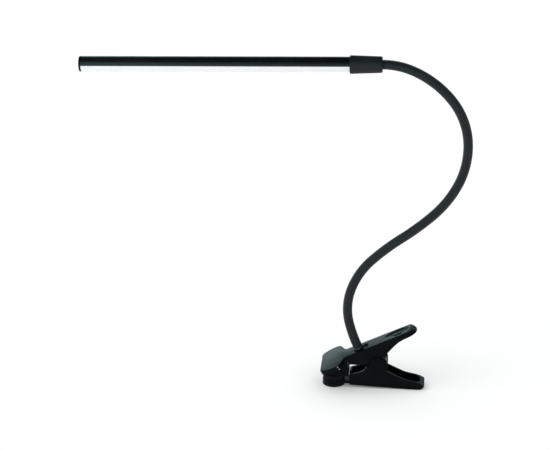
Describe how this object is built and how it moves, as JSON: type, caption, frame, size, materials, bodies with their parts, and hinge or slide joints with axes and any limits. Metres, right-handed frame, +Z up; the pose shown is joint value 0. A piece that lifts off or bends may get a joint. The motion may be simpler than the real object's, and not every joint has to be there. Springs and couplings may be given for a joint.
{
  "type": "clip-on reading lamp",
  "caption": "Sprung clip with padded jaws carrying a bendable gooseneck and a slim straight light bar with an opal diffuser under a dark half-round housing.",
  "frame": {"origin": "centre of the foot pad's underside, on the surface the clip stands on", "axes": "+Z up, +X from the foot towards the clip's grips, +Y square to the plane that the neck lies in"},
  "size_m": [0.4071, 0.056, 0.3637],
  "materials": {
    "moulded_black": "satin moulded black",
    "sleeve_charcoal": "matte charcoal",
    "cap_black": "matte black",
    "collar_black": "black oxide",
    "rubber_black": "matte rubber",
    "plated_steel": "zinc plated",
    "spring_steel": "black spring steel",
    "neck_sheath": "matte black ribbed sheath over a steel core",
    "housing_black": "black anodised",
    "diffuser_opal": "opal diffuser",
    "board_white": "white solder resist",
    "lead_black": "soft cable insulation"
  },
  "bodies": {
    "lower_jaw": {"lower_jaw": "moulded_black", "foot_pad": "rubber_black", "lower_pad": "rubber_black", "pivot_pin": "plated_steel", "pivot_cap_near": "cap_black", "pivot_cap_far": "cap_black", "torsion_spring": "spring_steel"},
    "upper_jaw": {"upper_jaw": "moulded_black", "upper_pad": "rubber_black", "neck_collar": "collar_black", "neck_washer": "plated_steel", "neck_nut": "plated_steel", "cord_gland": "rubber_black", "clamp_lead": "lead_black", "neck_base_stub": "neck_sheath"},
    "neck_01": {"neck_link_01": "neck_sheath"},
    "neck_02": {"neck_link_02": "neck_sheath"},
    "neck_03": {"neck_link_03": "neck_sheath"},
    "neck_04": {"neck_link_04": "neck_sheath"},
    "neck_05": {"neck_link_05": "neck_sheath"},
    "neck_06": {"neck_link_06": "neck_sheath"},
    "neck_07": {"neck_link_07": "neck_sheath"},
    "neck_08": {"neck_link_08": "neck_sheath"},
    "neck_09": {"neck_link_09": "neck_sheath"},
    "neck_10": {"neck_link_10": "neck_sheath"},
    "head": {"neck_top_stub": "neck_sheath", "neck_crimp": "plated_steel", "head_sleeve": "sleeve_charcoal", "head_lead": "lead_black", "lamp_housing": "housing_black", "diffuser": "diffuser_opal", "led_board": "board_white", "end_cap": "cap_black"}
  },
  "joints": [
    {"name": "clamp_open", "type": "hinge", "parent": "lower_jaw", "child": "upper_jaw", "pos_m": [0.0475, 0, 0.028], "axis": [0, 1, 0], "range_deg": [0, 30], "stiffness_Nm_per_rad": 0.9, "springref_deg": -45.84, "deforming": ["torsion_spring"]},
    {"name": "neck_lower_bend", "type": "hinge", "parent": "upper_jaw", "child": "neck_01", "pos_m": [0.02025, 0, 0.0556], "axis": [0, 1, 0], "range_deg": [-8, 13]},
    {"name": "neck_lower_bend_2", "type": "hinge", "parent": "neck_01", "child": "neck_02", "pos_m": [0.01391, 0, 0.09304], "axis": [0, 1, 0], "range_deg": [-8, 13]},
    {"name": "neck_side_bend", "type": "hinge", "parent": "neck_02", "child": "neck_03", "pos_m": [0.0269, 0, 0.12866], "axis": [-0.8342, 0, 0.5515], "range_deg": [-15, 15]},
    {"name": "neck_lower_bend_3", "type": "hinge", "parent": "neck_03", "child": "neck_04", "pos_m": [0.0534, 0, 0.15611], "axis": [0, 1, 0], "range_deg": [-8, 13]},
    {"name": "neck_lower_bend_4", "type": "hinge", "parent": "neck_04", "child": "neck_05", "pos_m": [0.08384, 0, 0.17934], "axis": [0, 1, 0], "range_deg": [-8, 13]},
    {"name": "neck_side_bend_2", "type": "hinge", "parent": "neck_05", "child": "neck_06", "pos_m": [0.11141, 0, 0.20582], "axis": [-0.7802, 0, 0.6255], "range_deg": [-15, 15]},
    {"name": "neck_upper_bend", "type": "hinge", "parent": "neck_06", "child": "neck_07", "pos_m": [0.12998, 0, 0.23909], "axis": [0, 1, 0], "range_deg": [-7, 13]},
    {"name": "neck_upper_bend_2", "type": "hinge", "parent": "neck_07", "child": "neck_08", "pos_m": [0.13425, 0, 0.27687], "axis": [0, 1, 0], "range_deg": [-7, 13]},
    {"name": "neck_side_bend_3", "type": "hinge", "parent": "neck_08", "child": "neck_09", "pos_m": [0.12158, 0, 0.31262], "axis": [-0.8357, 0, -0.5491], "range_deg": [-15, 15]},
    {"name": "neck_upper_bend_3", "type": "hinge", "parent": "neck_09", "child": "neck_10", "pos_m": [0.09459, 0, 0.33947], "axis": [0, 1, 0], "range_deg": [-7, 13]},
    {"name": "neck_upper_bend_4", "type": "hinge", "parent": "neck_10", "child": "head", "pos_m": [0.05954, 0, 0.35415], "axis": [0, 1, 0], "range_deg": [-7, 13]}
  ],
  "couplings": [
    {"joint": "neck_lower_bend_2", "follows": "neck_lower_bend", "ratio": 1},
    {"joint": "neck_lower_bend_3", "follows": "neck_lower_bend", "ratio": 1},
    {"joint": "neck_lower_bend_4", "follows": "neck_lower_bend", "ratio": 1},
    {"joint": "neck_upper_bend_2", "follows": "neck_upper_bend", "ratio": 1},
    {"joint": "neck_upper_bend_3", "follows": "neck_upper_bend", "ratio": 1},
    {"joint": "neck_upper_bend_4", "follows": "neck_upper_bend", "ratio": 1},
    {"joint": "neck_side_bend_2", "follows": "neck_side_bend", "ratio": 1},
    {"joint": "neck_side_bend_3", "follows": "neck_side_bend", "ratio": 1}
  ]
}
